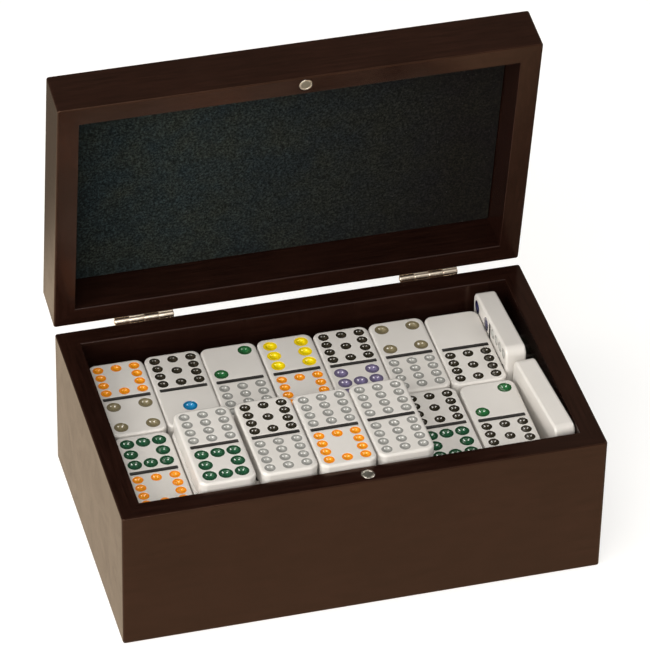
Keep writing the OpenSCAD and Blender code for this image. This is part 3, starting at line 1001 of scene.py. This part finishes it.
shown = {frozenset(tile[:2]) for tile in (*FLAT_TILES.values(), *STANDING_TILES.values())}
spare = [(a, b) for a in range(13) for b in range(a + 1) if frozenset((a, b)) not in shown]
random.Random(112).shuffle(spare)
plain_tile = slab(*TILE, TILE_CORNER, TILE_EDGE, corner_steps=5, edge_steps=3)
LAYERS = 5
for level in range(1, LAYERS + 1):
    layer = Shape()
    middles = solids_middles(f"tile_layer_{level}")
    rightmost = max(x for x, _, _ in middles)
    for x, y, z in middles:
        under_edge_tiles = level == LAYERS - 1 and rightmost - x < 1
        shape = domino(*spare.pop()) if level == LAYERS or under_edge_tiles else plain_tile
        layer.put(shape, Matrix.Translation((x, y, z)))
    make_piece(
        f"domino_layer_{level}", layer, tile_materials, "box", [f"tile_layer_{level}"],
    )
make_piece(
    "domino_inner_standing", plain_tile, [plastic], "box", ["inner_standing_tile"],
    Matrix.Translation(Vector(node_middle("inner_standing_tile"))) @ Matrix.Rotation(math.pi / 2, 4, "Y"),
)


# ---- floor, light and camera ----

def floor_material():
    """A white floor that keeps a soft shadow. In gloss it glows warm, painted light that stands for the table that
    the box stood on.
    """
    m = Material("floor_white", Base_Color=(0.60, 0.59, 0.57, 1), Roughness=0.9, Specular_IOR_Level=0.0)
    plain = m.shader.outputs[0]
    seen = m.node("ShaderNodeAddShader")
    m.join(plain, seen.inputs[0])
    m.join(m.glow((1, 1, 1, 1), 0.62).outputs[0], seen.inputs[1])
    table_glow = m.glow((1.0, 0.80, 0.58, 1))
    across = m.node("ShaderNodeSeparateXYZ")
    m.join(m.place(turn=(0, 0, -math.pi / 4)), across.inputs[0])
    # The glow is dimmer behind the box's right side, which the lid's rim mirrors, so that the rim shows less
    # painted reflection.
    m.join(m.spread(across.outputs["X"], 40, 70, 0.79, 0.2), table_glow.inputs["Strength"])
    ray = m.node("ShaderNodeLightPath").outputs
    surface = m.choose(ray["Is Camera Ray"], plain, seen.outputs[0])
    surface = m.choose(ray["Is Glossy Ray"], surface, table_glow.outputs[0])
    m.join(surface, m.tree.nodes["Material Output"].inputs["Surface"])
    return m.data


# In metres. The floor lies just under the box, so that the two don't coincide.
FLOOR_HALF = 12.0
FLOOR_Z = -0.0002
floor_mesh = bpy.data.meshes.new("floor")
floor_corners = [(FLOOR_HALF * x, FLOOR_HALF * y, FLOOR_Z) for x, y in ((-1, -1), (1, -1), (1, 1), (-1, 1))]
floor_mesh.from_pydata(floor_corners, [], [(0, 1, 2, 3)])
floor_mesh.materials.append(floor_material())
floor = bpy.data.objects.new("floor", floor_mesh)
bpy.context.scene.collection.objects.link(floor)


def make_world():
    """White to the camera, a dim warm room in gloss and an even grey to everything else."""
    world = bpy.data.worlds.new("studio")
    bpy.context.scene.world = world
    world.use_nodes = True
    tree = world.node_tree
    path = tree.nodes.new("ShaderNodeLightPath")
    seen = tree.nodes["Background"]
    seen.inputs["Color"].default_value = (1.0, 0.99, 0.975, 1)
    seen.inputs["Strength"].default_value = 0.22
    by_ray = {"Is Glossy Ray": ((1.0, 0.86, 0.72, 1), 0.16), "Is Camera Ray": ((1, 1, 1, 1), 1.0)}
    for ray, (colour, strength) in by_ray.items():
        other = tree.nodes.new("ShaderNodeBackground")
        other.inputs["Color"].default_value = colour
        other.inputs["Strength"].default_value = strength
        pick = tree.nodes.new("ShaderNodeMixShader")
        tree.links.new(path.outputs[ray], pick.inputs[0])
        tree.links.new(seen.outputs[0], pick.inputs[1])
        tree.links.new(other.outputs[0], pick.inputs[2])
        seen = pick
    tree.links.new(seen.outputs[0], tree.nodes["World Output"].inputs["Surface"])


def make_lamp(name, direction, distance, size, power):
    """A square area lamp, aimed at the tiles from the given direction."""
    lamp = bpy.data.lights.new(name, "AREA")
    lamp.shape = "SQUARE"
    lamp.size = size
    lamp.energy = power
    lamp.color = WARM
    holder = bpy.data.objects.new(name, lamp)
    way = Vector(direction).normalized()
    holder.location = Vector((0, 0, BOX_H * MM)) + way * distance
    holder.rotation_euler = way.to_track_quat("Z", "Y").to_euler()
    bpy.context.scene.collection.objects.link(holder)
    return holder


make_world()
WARM = (1.0, 0.97, 0.93)
UP_LEFT = (-0.32, 0.12, 0.94)
UP_RIGHT = (0.71, 0.12, 0.69)
# Each lamp: its direction from the tiles, its distance and size in metres, and its power in watts.
LAMPS = {
    "left_lamp": (UP_LEFT, 1.3, 0.5, 2.8),
    "right_lamp": (UP_RIGHT, 1.3, 0.5, 2.8),
    "hood_lamp": ((0.22, -0.49, 0.84), 1.3, 0.7, 0.8),
    "front_lamp": ((-0.3, -0.8, 0.52), 2.0, 1.8, 27.8),
    "side_lamp": ((-1.0, -0.35, 0.3), 2.0, 1.0, 28.0),
}
# Lamps that show only in gloss, as the two glints in every pip.
GLINTS = {
    "left_glint": (UP_LEFT, 1.29, 0.5, 2.8),
    "right_glint": (UP_RIGHT, 1.29, 0.5, 2.8),
}
for name, lamp in (LAMPS | GLINTS).items():
    make_lamp(name, *lamp).visible_diffuse = name in LAMPS


def make_camera():
    """The photograph's view."""
    camera = bpy.data.cameras.new("camera")
    camera.sensor_width = 36
    camera.lens = 252.41
    camera.clip_end = 100
    holder = bpy.data.objects.new("camera", camera)
    right = Vector((0.965027, -0.261465, 0.018954))
    down = Vector((-0.147090, -0.599838, -0.786440))
    forward = Vector((0.216997, 0.756146, -0.617376))
    turn = Matrix((right, -down, -forward)).transposed().to_4x4()
    holder.matrix_world = Matrix.Translation((-0.43154, -1.49686, 1.32770)) @ turn
    bpy.context.scene.collection.objects.link(holder)
    bpy.context.scene.camera = holder


make_camera()
bpy.context.scene.view_settings.view_transform = "Standard"
